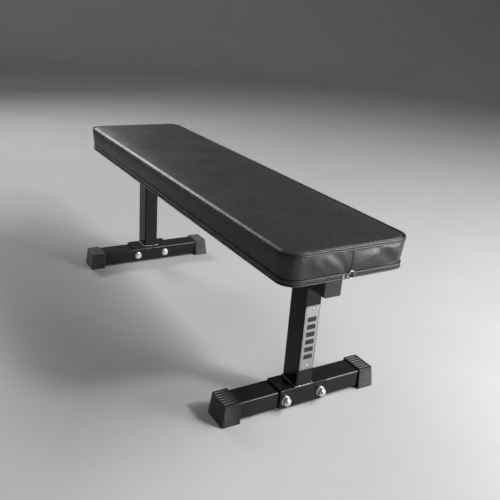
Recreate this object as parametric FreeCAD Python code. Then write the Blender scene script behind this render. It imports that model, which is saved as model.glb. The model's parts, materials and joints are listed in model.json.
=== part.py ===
import FreeCAD, Part

# Flat weight bench: a padded seat on a box-section spine, which two welded uprights carry on
# bolted-on cross feet with rubber boots. Millimetres. X runs along the bench (+X is the end with
# the nameplate and the zip slider), Y across it, Z up; the origin is on the floor under the middle.

import math
import os

V = FreeCAD.Vector

# ---- Driving dimensions ----
TUBE_DEEP = 60.0  # the longer side of the box section that the whole frame is made from
TUBE_WIDE = 45.0  # its shorter side
TUBE_WALL = 2.5
TUBE_CORNER = 4.0  # outside radius of the section's corners

BASE_SPACING = 950.0  # between the two base tubes' centre lines
BASE_HALF_LENGTH = 207.0
BASE_BOTTOM = 6.0  # the boots' soles hold the base tubes this far off the floor

SPINE_BOTTOM = 315.0
SPINE_OVERHANG = 92.0  # past the base tube's centre line, at each end
UPRIGHT_OFFSET = 4.0  # the upright's axis stands this far outside the base tube's

PLATE = 5.0  # bracket and seat plate thickness
BRACKET_HALF_LENGTH = 65.0
BRACKET_DROP = 44.0  # how far the bracket's flange hangs down the base tube's outer face
BOLT_SPACING = 100.0

BOOT_HALF_LENGTH_OUT = 211.0  # |Y| of a boot's outer end, at its top
BOOT_INNER_EDGE = 171.0
BOOT_WALL = 3.0
BOOT_FLARE = 4.0  # how much wider the foot is than the top, on each side
BOOT_FLARE_OUT = 7.0  # and how much longer, at its outer end

SEAT_LENGTH = 1240.0
SEAT_WIDTH = 322.0
SEAT_CORNER = 38.0
SEAT_BOTTOM = 380.0
SEAT_TOP = 455.0
HEM_TOP = 392.0
WELT_BOTTOM = 444.0
WELT_TOP = 451.0
WELT_PROUD = 1.0
HEM_INSET = 4.0  # the side walls lean in by this much between the welt and the hem
COVER = 1.5  # cover thickness
BOARD = 15.0  # plywood thickness

ZIP_BOTTOM = 383.5  # the slot between the hem's two folds, where the zip shows
ZIP_TOP = 388.5
SLIDER_Y = -12.0
PIN_X_OUT = 618.6
PIN_Y = -10.5
PIN_RADIUS = 0.8

NAMEPLATE_LOW = 101.0
NAMEPLATE_HIGH = 267.0
NAMEPLATE_WIDTH = 40.0
NAMEPLATE_THICK = 1.2
RIVET_INSET = 9.0
RIVET_HOLE = 1.7

M12_SHANK = 5.9
M12_HOLE = 6.5
M12_FLATS = 18.0
WASHER_12 = 2.5
HEAD_12 = 7.5
NUT_12 = 10.0
M8_SHANK = 3.9
M8_HOLE = 4.3
M8_FLATS = 13.0
WASHER_8 = 1.6

# ---- Heights and places that follow from them ----
BASE_X = BASE_SPACING / 2
BASE_TOP = BASE_BOTTOM + TUBE_WIDE
BASE_MIDDLE = BASE_BOTTOM + TUBE_WIDE / 2
FOOT_TOP = BASE_TOP + PLATE
SPINE_TOP = SPINE_BOTTOM + TUBE_DEEP
SPINE_END = BASE_X + SPINE_OVERHANG
UPRIGHT_X = BASE_X + UPRIGHT_OFFSET
BRACKET_OUT = BASE_X + TUBE_DEEP / 2 + PLATE
RIVET_HEIGHTS = (NAMEPLATE_LOW + RIVET_INSET, NAMEPLATE_HIGH - RIVET_INSET)
ZIP_MIDDLE = (ZIP_BOTTOM + ZIP_TOP) / 2
SEAT_SCREW_Y = 70.0
SEAT_PLATE_X = (-380.0, 0.0, 380.0)


# ---- Shapes that several pieces share ----
def box(x, y, z):
    """A block between two corners, each of x, y and z given as (low, high)."""
    return Part.makeBox(x[1] - x[0], y[1] - y[0], z[1] - z[0], V(x[0], y[0], z[0]))


def rounded_outline(half_x, half_y, radius, z):
    """Closed wire: a rectangle with round corners at height z, centred on the Z axis."""
    corners = ((1, 1), (-1, 1), (-1, -1), (1, -1))
    arcs = []
    edges = []
    for quarter, (side_x, side_y) in enumerate(corners):
        centre = V(side_x * (half_x - radius), side_y * (half_y - radius), z)
        angles = [math.radians(90 * quarter + step) for step in (0, 45, 90)]
        arcs.append([centre + V(radius * math.cos(a), radius * math.sin(a), 0) for a in angles])
    for quarter, arc in enumerate(arcs):
        following = arcs[(quarter + 1) % 4]
        edges.append(Part.Arc(*arc).toShape())
        edges.append(Part.LineSegment(arc[2], following[0]).toShape())
    return Part.Wire(edges)


def prism(half_x, half_y, radius, low, high):
    """A rounded rectangle standing between two heights."""
    face = Part.Face(rounded_outline(half_x, half_y, radius, low))
    return face.extrude(V(0, 0, high - low))


def box_tube(length):
    """The frame's box section, hollow, centred on the origin and running along Z."""
    half_x, half_y = TUBE_DEEP / 2, TUBE_WIDE / 2
    outside = prism(half_x, half_y, TUBE_CORNER, -length / 2, length / 2)
    inner_radius = TUBE_CORNER - TUBE_WALL
    inside = prism(half_x - TUBE_WALL, half_y - TUBE_WALL, inner_radius, -length / 2, length / 2)
    return outside.cut(inside)


def revolve(profile):
    """Turn a closed (radius, height) profile once round the Z axis."""
    points = [V(r, 0, z) for r, z in profile]
    face = Part.Face(Part.makePolygon(points + points[:1]))
    return face.revolve(V(0, 0, 0), V(0, 0, 1), 360)


def hexagon(flats, height):
    """A hexagonal head or nut blank on the XY plane, its corners chamfered at both ends."""
    corner = flats / math.sqrt(3)
    drop = (corner - flats / 2) * math.tan(math.radians(30))
    points = []
    for step in range(7):
        angle = math.radians(60 * step)
        points.append(V(corner * math.cos(angle), corner * math.sin(angle), 0))
    blank = Part.Face(Part.makePolygon(points)).extrude(V(0, 0, height))
    small = flats / 2
    barrel = [(0, 0), (small, 0), (corner, drop), (corner, height - drop), (small, height), (0, height)]
    return blank.common(revolve(barrel))


def along_x(shape, x, y, z):
    """Lay a shape that was made along Z along +X, with its origin at the given point."""
    turned = shape.copy()
    turned.rotate(V(0, 0, 0), V(0, 1, 0), 90)
    turned.translate(V(x, y, z))
    return turned


def at(shape, x, y, z):
    moved = shape.copy()
    moved.translate(V(x, y, z))
    return moved


def other_end(shape):
    """The same piece at the bench's other end."""
    return shape.mirror(V(0, 0, 0), V(1, 0, 0))


def other_side(shape):
    return shape.mirror(V(0, 0, 0), V(0, 1, 0))


def fused(shapes):
    whole = shapes[0].multiFuse(shapes[1:])
    return whole.removeSplitter()


def fillet_ring(half_x, half_y, leg_x, leg_y, height, foot, up):
    """A weld bead round a tube's end: a tapered ring that starts at height foot and runs up or down."""
    direction = 1 if up else -1
    wide = rounded_outline(half_x + leg_x, half_y + leg_y, TUBE_CORNER, foot)
    narrow = rounded_outline(half_x + 0.2, half_y + 0.2, TUBE_CORNER, foot + direction * height)
    bead = Part.makeLoft([wide, narrow], True, True)
    low, high = sorted((foot, foot + direction * height))
    return bead.cut(prism(half_x, half_y, TUBE_CORNER, low - 1, high + 1))


# ---- Frame ----
def spine_tube():
    return along_x(box_tube(2 * SPINE_END), 0, 0, SPINE_BOTTOM + TUBE_DEEP / 2)


def spine_cap():
    """Plastic cap of the spine's +X end: a face plate on a plug that fits inside the tube."""
    plate_thickness, plug_length, slack = 3.0, 14.0, 0.1
    half_x, half_y = TUBE_DEEP / 2, TUBE_WIDE / 2
    plate = prism(half_x, half_y, TUBE_CORNER, 0, plate_thickness)
    face_edges = [e for e in plate.Edges if e.BoundBox.ZMin > plate_thickness - 0.01]
    plate = plate.makeFillet(0.8, face_edges)
    inset = TUBE_WALL + slack
    plug = prism(half_x - inset, half_y - inset, TUBE_CORNER - TUBE_WALL, -plug_length, 0)
    hollow_inset = inset + 2.5
    hollow = prism(half_x - hollow_inset, half_y - hollow_inset, 1.0, -plug_length, -2)
    cap = fused([plate, plug.cut(hollow)])
    return along_x(cap, SPINE_END, 0, SPINE_BOTTOM + TUBE_DEEP / 2)


def upright():
    length = SPINE_BOTTOM - FOOT_TOP
    return at(box_tube(length), UPRIGHT_X, 0, FOOT_TOP + length / 2)


def nameplate_upright():
    """The front upright, drilled through its outer wall for the nameplate's rivets."""
    post = upright()
    for z in RIVET_HEIGHTS:
        hole = Part.makeCylinder(RIVET_HOLE, 3 * TUBE_WALL, V(0, 0, -2 * TUBE_WALL))
        post = post.cut(along_x(hole, UPRIGHT_X + TUBE_DEEP / 2, 0, z))
    return post


def foot_weld():
    ring = fillet_ring(TUBE_DEEP / 2, TUBE_WIDE / 2, 1.0, 4.0, 4.0, FOOT_TOP, True)
    return at(ring, UPRIGHT_X, 0, 0)


def top_weld():
    """Beads under the spine along the upright's two end faces."""
    ring = fillet_ring(TUBE_DEEP / 2, TUBE_WIDE / 2, 4.0, 0.2, 4.0, SPINE_BOTTOM, False)
    flat_half = TUBE_WIDE / 2 - TUBE_CORNER
    reach = TUBE_DEEP
    strip = box((-reach, reach), (-flat_half, flat_half), (SPINE_BOTTOM - 10, SPINE_BOTTOM))
    return at(ring.common(strip), UPRIGHT_X, 0, 0)


def bracket():
    """Angle that the upright is welded to: a top plate and a flange bolted through the base tube."""
    inner_edge = UPRIGHT_X - TUBE_DEEP / 2 - 1
    along = (-BRACKET_HALF_LENGTH, BRACKET_HALF_LENGTH)
    top = box((inner_edge, BRACKET_OUT), along, (BASE_TOP, FOOT_TOP))
    flange = box((BRACKET_OUT - PLATE, BRACKET_OUT), along, (FOOT_TOP - PLATE - BRACKET_DROP, FOOT_TOP))
    angle = top.fuse(flange).removeSplitter()
    bend = [
        e
        for e in angle.Edges
        if e.BoundBox.XMin > BRACKET_OUT - 0.01 and e.BoundBox.ZMin > FOOT_TOP - 0.01
    ]
    angle = angle.makeFillet(1.0, bend)
    for y in (-BOLT_SPACING / 2, BOLT_SPACING / 2):
        hole = Part.makeCylinder(M12_HOLE, 20, V(0, 0, -10))
        angle = angle.cut(along_x(hole, BRACKET_OUT - PLATE / 2, y, BASE_MIDDLE))
    return angle


def base_tube():
    tube = box_tube(2 * BASE_HALF_LENGTH)
    tube.rotate(V(0, 0, 0), V(1, 0, 0), 90)
    tube.translate(V(BASE_X, 0, BASE_MIDDLE))
    for y in (-BOLT_SPACING / 2, BOLT_SPACING / 2):
        hole = Part.makeCylinder(M12_HOLE, 2 * TUBE_DEEP, V(0, 0, -TUBE_DEEP))
        tube = tube.cut(along_x(hole, BASE_X, y, BASE_MIDDLE))
    return tube


def boot():
    """Rubber boot over the base tube's +Y end: a flared block with a socket for the tube."""
    half_x = TUBE_DEEP / 2 + BOOT_WALL
    top = BASE_TOP + BOOT_WALL

    def section(z, wider, longer):
        x, y = half_x + wider, BOOT_HALF_LENGTH_OUT + longer
        corners = [V(-x, BOOT_INNER_EDGE, z), V(x, BOOT_INNER_EDGE, z), V(x, y, z), V(-x, y, z)]
        return Part.makePolygon(corners + corners[:1])

    block = Part.makeLoft([section(0, BOOT_FLARE, BOOT_FLARE_OUT), section(top, 0, 0)], True, True)
    softened = [e for e in block.Edges if e.BoundBox.YMax > BOOT_INNER_EDGE + 1]
    block = block.makeFillet(1.5, softened)
    socket = prism(TUBE_DEEP / 2, TUBE_WIDE / 2, TUBE_CORNER, -BASE_HALF_LENGTH, BASE_HALF_LENGTH)
    socket.rotate(V(0, 0, 0), V(1, 0, 0), 90)
    socket.translate(V(0, 0, BASE_MIDDLE))
    return at(block.cut(socket), BASE_X, 0, 0)


# ---- Fasteners of the feet ----
def bolt_places():
    return [(y, BASE_MIDDLE) for y in (-BOLT_SPACING / 2, BOLT_SPACING / 2)]


def base_bolts():
    """M12 bolts, heads on the base tube's inner face."""
    inner = BASE_X - TUBE_DEEP / 2 - WASHER_12
    tip = BRACKET_OUT + WASHER_12 + NUT_12 + 4 - inner
    shank = revolve([(0, 0), (M12_SHANK, 0), (M12_SHANK, tip - 1.5), (M12_SHANK - 1.5, tip), (0, tip)])
    head = at(hexagon(M12_FLATS, HEAD_12), 0, 0, -HEAD_12)
    bolt = fused([head, shank])
    return [along_x(bolt, inner, y, z) for y, z in bolt_places()]


def washer(inner, outer, thickness):
    return Part.makeCylinder(outer, thickness).cut(Part.makeCylinder(inner, thickness))


def base_washers():
    ring = washer(M12_HOLE, 12.0, WASHER_12)
    inner = BASE_X - TUBE_DEEP / 2 - WASHER_12
    return [along_x(ring, x, y, z) for y, z in bolt_places() for x in (inner, BRACKET_OUT)]


def base_nuts():
    nut = hexagon(M12_FLATS, NUT_12).cut(Part.makeCylinder(M12_SHANK + 0.05, NUT_12))
    return [along_x(nut, BRACKET_OUT + WASHER_12, y, z) for y, z in bolt_places()]


# ---- Nameplate ----
def nameplate():
    half = (NAMEPLATE_HIGH - NAMEPLATE_LOW) / 2
    plate = prism(half, NAMEPLATE_WIDTH / 2, 4.0, 0, NAMEPLATE_THICK)
    for end in (-1, 1):
        hole = Part.makeCylinder(RIVET_HOLE, NAMEPLATE_THICK, V(end * (half - RIVET_INSET), 0, 0))
        plate = plate.cut(hole)
    return along_x(plate, UPRIGHT_X + TUBE_DEEP / 2, 0, (NAMEPLATE_LOW + NAMEPLATE_HIGH) / 2)


def nameplate_rivets():
    """Dome-headed rivets through the plate and the upright's wall."""
    depth = TUBE_WALL + NAMEPLATE_THICK
    dome = Part.makeSphere(4.0, V(0, 0, -2.6)).cut(box((-9, 9), (-9, 9), (-9, 0)))
    body = Part.makeCylinder(RIVET_HOLE - 0.1, depth, V(0, 0, -depth))
    rivet = fused([dome, body])
    face = UPRIGHT_X + TUBE_DEEP / 2 + NAMEPLATE_THICK
    return [along_x(rivet, face, 0, z) for z in RIVET_HEIGHTS]


# ---- Seat ----
def seat_block(inset, low, high):
    """The pad's outline shrunk by inset: walls that lean out up to the welt, then stand straight."""
    half_x, half_y = SEAT_LENGTH / 2 - inset, SEAT_WIDTH / 2 - inset
    radius = SEAT_CORNER - inset
    lean = HEM_INSET * (WELT_BOTTOM - low) / (WELT_BOTTOM - HEM_TOP)
    foot = rounded_outline(half_x - lean, half_y - lean, radius - lean, low)
    shoulder = rounded_outline(half_x, half_y, radius, WELT_BOTTOM)
    walls = Part.makeLoft([foot, shoulder], True, True)
    crown = prism(half_x, half_y, radius, WELT_BOTTOM, high)
    return walls, crown


def hem_prism(inset, low, high):
    """The hem's outline, shrunk by inset from the foot of the side walls."""
    shrink = HEM_INSET + inset
    return prism(SEAT_LENGTH / 2 - shrink, SEAT_WIDTH / 2 - shrink, SEAT_CORNER - shrink, low, high)


def screw_places():
    return [(x, y) for x in SEAT_PLATE_X for y in (-SEAT_SCREW_Y, SEAT_SCREW_Y)]


def board_shape():
    return hem_prism(5.0, SEAT_BOTTOM + COVER, SEAT_BOTTOM + COVER + BOARD)


def foam_shape():
    walls, crown = seat_block(COVER, SEAT_BOTTOM + COVER + BOARD, SEAT_TOP - COVER)
    return fused([walls, crown])


def welt_shape():
    half_x, half_y = SEAT_LENGTH / 2, SEAT_WIDTH / 2
    proud = WELT_PROUD
    outside = prism(half_x + proud, half_y + proud, SEAT_CORNER + proud, WELT_BOTTOM, WELT_TOP)
    rim = [e for e in outside.Edges if e.BoundBox.ZLength < 0.01]
    outside = outside.makeFillet(WELT_PROUD, rim)
    return outside.cut(prism(half_x - 1, half_y - 1, SEAT_CORNER - 1, WELT_BOTTOM, WELT_TOP))


def seat_cover():
    """Vinyl cover: top, sides, bottom and the folded hem, with the foam and the board inside."""
    walls, crown = seat_block(0, HEM_TOP, SEAT_TOP)
    rim = [e for e in crown.Edges if e.BoundBox.ZMin > SEAT_TOP - 0.01]
    crown = crown.makeFillet(3.5, rim)
    hem = hem_prism(0.5, SEAT_BOTTOM, HEM_TOP)
    cover = fused([hem, walls, crown])
    slot = hem_prism(0, ZIP_BOTTOM, ZIP_TOP).cut(hem_prism(4.5, ZIP_BOTTOM, ZIP_TOP))
    for inner in (board_shape(), foam_shape(), slot, welt_shape()):
        cover = cover.cut(inner)
    for x, y in screw_places():
        cover = cover.cut(Part.makeCylinder(M8_HOLE, 2 * COVER, V(x, y, SEAT_BOTTOM - COVER / 2)))
    return cover


def seat_board():
    """Plywood board, bored for the seat screws and counterbored for the tee nuts' flanges."""
    board = board_shape()
    top = SEAT_BOTTOM + COVER + BOARD
    for x, y in screw_places():
        board = board.cut(Part.makeCylinder(M8_HOLE, BOARD, V(x, y, SEAT_BOTTOM + COVER)))
        board = board.cut(Part.makeCylinder(5.2, 11.5, V(x, y, top - 11.5)))
        board = board.cut(Part.makeCylinder(10.2, 1.5, V(x, y, top - 1.5)))
    return board


def tee_nuts():
    top = SEAT_BOTTOM + COVER + BOARD
    nut = revolve([(M8_SHANK + 0.05, 0), (5.1, 0), (5.1, 9.5), (10, 9.5), (10, 11), (M8_SHANK + 0.05, 11)])
    return [at(nut, x, y, top - 11) for x, y in screw_places()]


def seat_screws():
    head_height, grip = 5.3, 21.5
    shank = revolve([(0, 0), (M8_SHANK, 0), (M8_SHANK, grip - 1), (M8_SHANK - 1, grip), (0, grip)])
    screw = fused([at(hexagon(M8_FLATS, head_height), 0, 0, -head_height), shank])
    return [at(screw, x, y, SPINE_TOP - WASHER_8) for x, y in screw_places()]


def seat_washers():
    ring = washer(M8_HOLE, 8.0, WASHER_8)
    return [at(ring, x, y, SPINE_TOP - WASHER_8) for x, y in screw_places()]


def seat_plate(x):
    """Flat bar welded across the spine, which the seat is screwed to."""
    plate = at(prism(25.0, 90.0, 6.0, SPINE_TOP, SPINE_TOP + PLATE), x, 0, 0)
    for y in (-SEAT_SCREW_Y, SEAT_SCREW_Y):
        plate = plate.cut(Part.makeCylinder(M8_HOLE, PLATE, V(x, y, SPINE_TOP)))
    return plate


def seat_plate_welds():
    """Fillet beads in the corner between each seat plate and the spine's sides."""
    leg = 3.5
    side = TUBE_WIDE / 2
    beads = []
    for x in SEAT_PLATE_X:
        corner = [V(x - 20, side, SPINE_TOP), V(x - 20, side + leg, SPINE_TOP), V(x - 20, side, SPINE_TOP - leg)]
        bead = Part.Face(Part.makePolygon(corner + corner[:1])).extrude(V(40, 0, 0))
        corner_gap = box((x - 25, x + 25), (0, side), (SPINE_TOP - 10, SPINE_TOP))
        bead = bead.cut(corner_gap)
        beads += [bead, other_side(bead)]
    return beads


# ---- Zip ----
def zip_tape():
    return hem_prism(3.0, ZIP_BOTTOM, ZIP_TOP).cut(hem_prism(4.5, ZIP_BOTTOM, ZIP_TOP))


def zip_chain():
    low, high = ZIP_BOTTOM + 0.7, ZIP_TOP - 0.7
    return hem_prism(1.4, low, high).cut(hem_prism(3.0, low, high))


def zip_slider():
    """Slider: a front plate over the hem's slot, a tongue inside it, and two ears with a pin."""
    hem_face = SEAT_LENGTH / 2 - HEM_INSET - 0.5
    plate = prism(5.0, 6.5, 2.5, 0, 1.0)
    plate = along_x(plate, hem_face + 0.3, SLIDER_Y, ZIP_MIDDLE)
    tongue_y = (SLIDER_Y - 4, SLIDER_Y + 4)
    tongue = box((hem_face - 0.6, hem_face + 0.4), tongue_y, (ZIP_MIDDLE - 1.8, ZIP_MIDDLE + 1.8))
    pieces = [plate, tongue]
    for low in (ZIP_MIDDLE - 3.4, ZIP_MIDDLE + 2.2):
        ear = box((hem_face + 1.2, PIN_X_OUT), (PIN_Y - 1.4, PIN_Y + 1.4), (low, low + 1.2))
        nose = Part.makeCylinder(1.4, 1.2, V(PIN_X_OUT, PIN_Y, low))
        pieces += [ear, nose]
    pieces.append(Part.makeCylinder(PIN_RADIUS, 6.8, V(PIN_X_OUT, PIN_Y, ZIP_MIDDLE - 3.4)))
    return fused(pieces)


def zip_pull():
    """Ring pull: a knuckle on the slider's pin, a short arm and a round ring."""
    reach, ring_radius, wire, rise = 12.5, 8.2, 1.1, 2.5
    knuckle = Part.makeCylinder(1.5, 3.8, V(PIN_X_OUT, PIN_Y, ZIP_MIDDLE - 1.9))
    arm_end = reach - ring_radius + 0.4
    arm = box((PIN_X_OUT - 0.6, PIN_X_OUT + 0.6), (PIN_Y, PIN_Y + arm_end), (ZIP_MIDDLE - 1.6, ZIP_MIDDLE + 1.8))
    ring = Part.makeTorus(ring_radius, wire, V(PIN_X_OUT, PIN_Y + reach, ZIP_MIDDLE + rise), V(1, 0, 0))
    bore = Part.makeCylinder(PIN_RADIUS + 0.05, 8, V(PIN_X_OUT, PIN_Y, ZIP_MIDDLE - 4))
    return fused([knuckle, arm, ring]).cut(bore)


# ---- Writing the pieces ----
def both_ends(name, shape):
    """One piece and its mirror image at the rear, or a group of solids at each end."""
    return {f"front_{name}": shape, f"rear_{name}": other_end(shape)}


def group(solids):
    return Part.makeCompound(solids)


def four_boots():
    right = boot()
    left = other_side(right)
    return {
        "boot_front_right": right,
        "boot_front_left": left,
        "boot_rear_right": other_end(right),
        "boot_rear_left": other_end(left),
    }


def with_rear(solids):
    return group(solids + [other_end(s) for s in solids])


def all_pieces():
    pieces = {
        "spine_tube": spine_tube(),
        "front_upright": nameplate_upright(),
        "rear_upright": other_end(upright()),
        "spine_front_cap": spine_cap(),
        "spine_rear_cap": other_end(spine_cap()),
        "base_bolts": with_rear(base_bolts()),
        "base_washers": with_rear(base_washers()),
        "base_nuts": with_rear(base_nuts()),
        "nameplate": nameplate(),
        "nameplate_rivets": group(nameplate_rivets()),
        "seat_cover": seat_cover(),
        "seat_foam": foam_shape(),
        "seat_board": seat_board(),
        "top_welt": welt_shape(),
        "seat_tee_nuts": group(tee_nuts()),
        "seat_screws": group(seat_screws()),
        "seat_washers": group(seat_washers()),
        "seat_plate_welds": group(seat_plate_welds()),
        "zip_tape": zip_tape(),
        "zip_chain": zip_chain(),
        "zip_slider": zip_slider(),
        "zip_pull": zip_pull(),
    }
    for name, x in zip(("rear", "middle", "front"), SEAT_PLATE_X):
        pieces[f"seat_plate_{name}"] = seat_plate(x)
    for name, shape in (
        ("foot_weld", foot_weld()),
        ("top_weld", top_weld()),
        ("bracket", bracket()),
        ("base_tube", base_tube()),
    ):
        pieces.update(both_ends(name, shape))
    pieces.update(four_boots())
    return pieces


os.makedirs("parts", exist_ok=True)
whole = FreeCAD.BoundBox()
for name, shape in sorted(all_pieces().items()):
    shape.exportStep(f"parts/{name}.step")
    whole.add(shape.BoundBox)
    state = "valid" if shape.isValid() else "NOT VALID"
    print(f"{name:20s} {len(shape.Solids)} solid(s) {shape.Volume / 1000:9.2f} cm3 {state}")
print("box", [round(v, 2) for v in (whole.XMin, whole.XMax, whole.YMin, whole.YMax, whole.ZMin, whole.ZMax)])
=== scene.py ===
# %% [markdown]
# # A flat weight bench, piece by piece
# This lesson dresses a finished CAD model of a flat weight bench. The CAD nodes arrive as a fixed
# frame: tubes, bolts and brackets keep their shapes and only get materials, while the soft and the
# finely shaped pieces are modelled here and stand in for plain CAD solids.

# %% Load the frame
import json
import math

import bmesh
import bpy
import numpy as np
from mathutils import Matrix, Vector


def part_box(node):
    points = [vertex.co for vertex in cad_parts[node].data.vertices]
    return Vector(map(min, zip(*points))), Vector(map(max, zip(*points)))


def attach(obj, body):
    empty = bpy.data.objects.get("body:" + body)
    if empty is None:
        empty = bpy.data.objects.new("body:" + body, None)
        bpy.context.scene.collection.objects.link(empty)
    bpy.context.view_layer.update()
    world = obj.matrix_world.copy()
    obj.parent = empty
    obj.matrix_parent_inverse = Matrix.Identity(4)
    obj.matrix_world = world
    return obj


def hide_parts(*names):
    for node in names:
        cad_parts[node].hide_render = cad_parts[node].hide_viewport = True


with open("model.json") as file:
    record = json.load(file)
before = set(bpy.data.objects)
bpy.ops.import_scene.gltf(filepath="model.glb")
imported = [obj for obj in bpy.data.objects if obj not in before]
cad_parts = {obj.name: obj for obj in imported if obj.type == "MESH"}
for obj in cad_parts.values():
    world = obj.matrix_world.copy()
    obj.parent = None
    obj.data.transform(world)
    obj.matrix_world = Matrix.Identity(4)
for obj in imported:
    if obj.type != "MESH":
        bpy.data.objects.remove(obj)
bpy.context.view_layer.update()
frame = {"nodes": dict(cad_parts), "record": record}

MM = 0.001
BODY = "frame"
print("CAD nodes:", len(frame["nodes"]))


# %% [markdown]
# ## Camera first
# The camera stands off one corner of the bench, a little above it, and is tilted sideways by a few
# degrees. It could be placed by hand in the viewport, but numbers give the same view every time: a
# point in the bench's own frame, and an azimuth, an elevation and a roll that make its three axes.

# %% Camera
CAMERA_AT = Vector((1.5495, -0.8208, 0.9062))
AZIMUTH, ELEVATION, ROLL = (math.radians(a) for a in (58.323, 21.445, 4.427))
LENS_MM, SENSOR_MM, FAR_CLIP = 46.605, 36, 60


def camera_axes():
    back = Vector((
        math.sin(AZIMUTH) * math.cos(ELEVATION),
        -math.cos(AZIMUTH) * math.cos(ELEVATION),
        math.sin(ELEVATION),
    ))
    level = Vector((math.cos(AZIMUTH), math.sin(AZIMUTH), 0))
    right = Matrix.Rotation(ROLL, 3, back) @ level
    return right, back.cross(right), back


camera_data = bpy.data.cameras.new("camera")
camera_data.lens = LENS_MM
camera_data.sensor_width = SENSOR_MM
camera_data.clip_end = FAR_CLIP
camera = bpy.data.objects.new("camera", camera_data)
bpy.context.scene.collection.objects.link(camera)
turn = Matrix(camera_axes()).transposed().to_4x4()
camera.matrix_world = Matrix.Translation(CAMERA_AT) @ turn
bpy.context.scene.camera = camera
print("camera looks along", [round(v, 3) for v in -camera_axes()[2]])


# %% [markdown]
# ## Small tools
# Every piece below is made as by hand: add a primitive, go into edit mode, pick faces or edges by
# their place, and run an operator. These helpers only save typing.

# %% Modelling helpers
def deselect():
    if bpy.context.object and bpy.context.object.mode != "OBJECT":
        bpy.ops.object.mode_set(mode="OBJECT")
    bpy.ops.object.select_all(action="DESELECT")


def cube(name, low, high):
    """A box between two corners, in metres, left active and selected."""
    deselect()
    low, high = Vector(low), Vector(high)
    bpy.ops.mesh.primitive_cube_add(size=1, location=(low + high) / 2, scale=high - low)
    made = bpy.context.object
    made.name = name
    bpy.ops.object.transform_apply(location=True, rotation=True, scale=True)
    return made


def edit():
    bpy.ops.object.mode_set(mode="EDIT")


def done():
    bpy.ops.object.mode_set(mode="OBJECT")
    return bpy.context.object


def pick(kind, test):
    """In edit mode, select only the vertices, edges or faces that pass a test."""
    bpy.ops.mesh.select_mode(type=kind)
    bpy.ops.mesh.select_all(action="DESELECT")
    mesh = bmesh.from_edit_mesh(bpy.context.edit_object.data)
    items = {"VERT": mesh.verts, "EDGE": mesh.edges, "FACE": mesh.faces}[kind]
    for item in items:
        if test(item):
            item.select_set(True)
    mesh.select_flush_mode()
    bmesh.update_edit_mesh(bpy.context.edit_object.data)


def middle(edge):
    return (edge.verts[0].co + edge.verts[1].co) / 2


def runs_along(edge, axis):
    """True for an edge parallel to one of the axes 0, 1 or 2."""
    step = edge.verts[1].co - edge.verts[0].co
    return abs(step[axis]) > 0.999 * step.length


def slice_at(axis, places):
    """Cut the whole edited mesh with a plane at each place along an axis."""
    normal = [0, 0, 0]
    normal[axis] = 1
    for place in places:
        point = [0, 0, 0]
        point[axis] = place
        bpy.ops.mesh.select_all(action="SELECT")
        bpy.ops.mesh.bisect(plane_co=point, plane_no=normal)


def steps(low, high, pitch):
    """Even places between two ends, about a pitch apart, without the ends."""
    count = max(1, round((high - low) / pitch))
    return [low + (high - low) * i / count for i in range(1, count)]


print("tools for boxes, picks and cuts are ready")


# %% [markdown]
# ## Finishing and copying
# Modifiers are applied as soon as they are set, so that each piece ends as a plain mesh. What
# repeats on the bench is modelled once; its points and faces are then written many times into one
# mesh, which is much quicker than hundreds of objects and keeps each copy's shape exact.

# %% Finishing and copying helpers
def activate(piece):
    deselect()
    piece.select_set(True)
    bpy.context.view_layer.objects.active = piece


def smooth(piece, angle=35):
    activate(piece)
    bpy.ops.object.shade_smooth_by_angle(angle=math.radians(angle))


def modify(piece, kind, **values):
    """Add one modifier, set it and apply it."""
    activate(piece)
    modifier = piece.modifiers.new(kind.lower(), kind)
    for key, value in values.items():
        setattr(modifier, key, value)
    bpy.ops.object.modifier_apply(modifier=modifier.name)


def round_edges(piece, width, segments=2, angle=35):
    modify(piece, "BEVEL", width=width, segments=segments, angle_limit=math.radians(angle))


def copies(name, template, places):
    """One mesh made of many moved copies of a template, whose own object is then removed."""
    mesh = template.data
    points = np.empty(len(mesh.vertices) * 3)
    mesh.vertices.foreach_get("co", points)
    points = points.reshape(-1, 3)
    faces = [tuple(p.vertices) for p in mesh.polygons]
    all_points, all_faces = [], []
    for index, place in enumerate(places):
        grid = np.array(place)
        all_points.append(points @ grid[:3, :3].T + grid[:3, 3])
        start = index * len(points)
        all_faces += [tuple(v + start for v in face) for face in faces]
    joined = bpy.data.meshes.new(name)
    joined.from_pydata(np.vstack(all_points).tolist(), [], all_faces)
    joined.update()
    made = bpy.data.objects.new(name, joined)
    bpy.context.scene.collection.objects.link(made)
    bpy.data.objects.remove(template)
    return made


def join(name, pieces):
    deselect()
    for piece in pieces:
        piece.select_set(True)
    bpy.context.view_layer.objects.active = pieces[0]
    bpy.ops.object.join()
    bpy.context.object.name = name
    return bpy.context.object


def points_of(piece):
    points = np.empty(len(piece.data.vertices) * 3)
    piece.data.vertices.foreach_get("co", points)
    return points.reshape(-1, 3)


def set_points(piece, points):
    piece.data.vertices.foreach_set("co", np.ascontiguousarray(points, dtype=np.float32).ravel())
    piece.data.update()


def finish(piece, slot, material, *nodes, body=BODY):
    """Give a piece its material and body, and let it stand for its CAD nodes. The slot is not used."""
    piece.data.materials.clear()
    piece.data.materials.append(material)
    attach(piece, body)
    if nodes:
        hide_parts(*nodes)
    print(f"{piece.name}: {len(piece.data.polygons)} faces")


print("finished pieces ride on the body", BODY)


# %% [markdown]
# ## Shared shader groups
# Real surfaces are never even. Two effects come back in most of the bench's materials: a soft
# unevenness that shifts colour and roughness a little, and a fine grain that only the bump sees.
# Each is a node group with named sockets, built once and used with its own values.

# %% Shader group helpers
SPECKLE_FINENESS = 22.0


def add(tree, kind, inputs=None, **settings):
    made = tree.nodes.new(kind)
    for key, value in settings.items():
        setattr(made, key, value)
    for key, value in (inputs or {}).items():
        if isinstance(value, bpy.types.NodeSocket):
            tree.links.new(value, made.inputs[key])
        else:
            made.inputs[key].default_value = value
    return made


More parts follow.
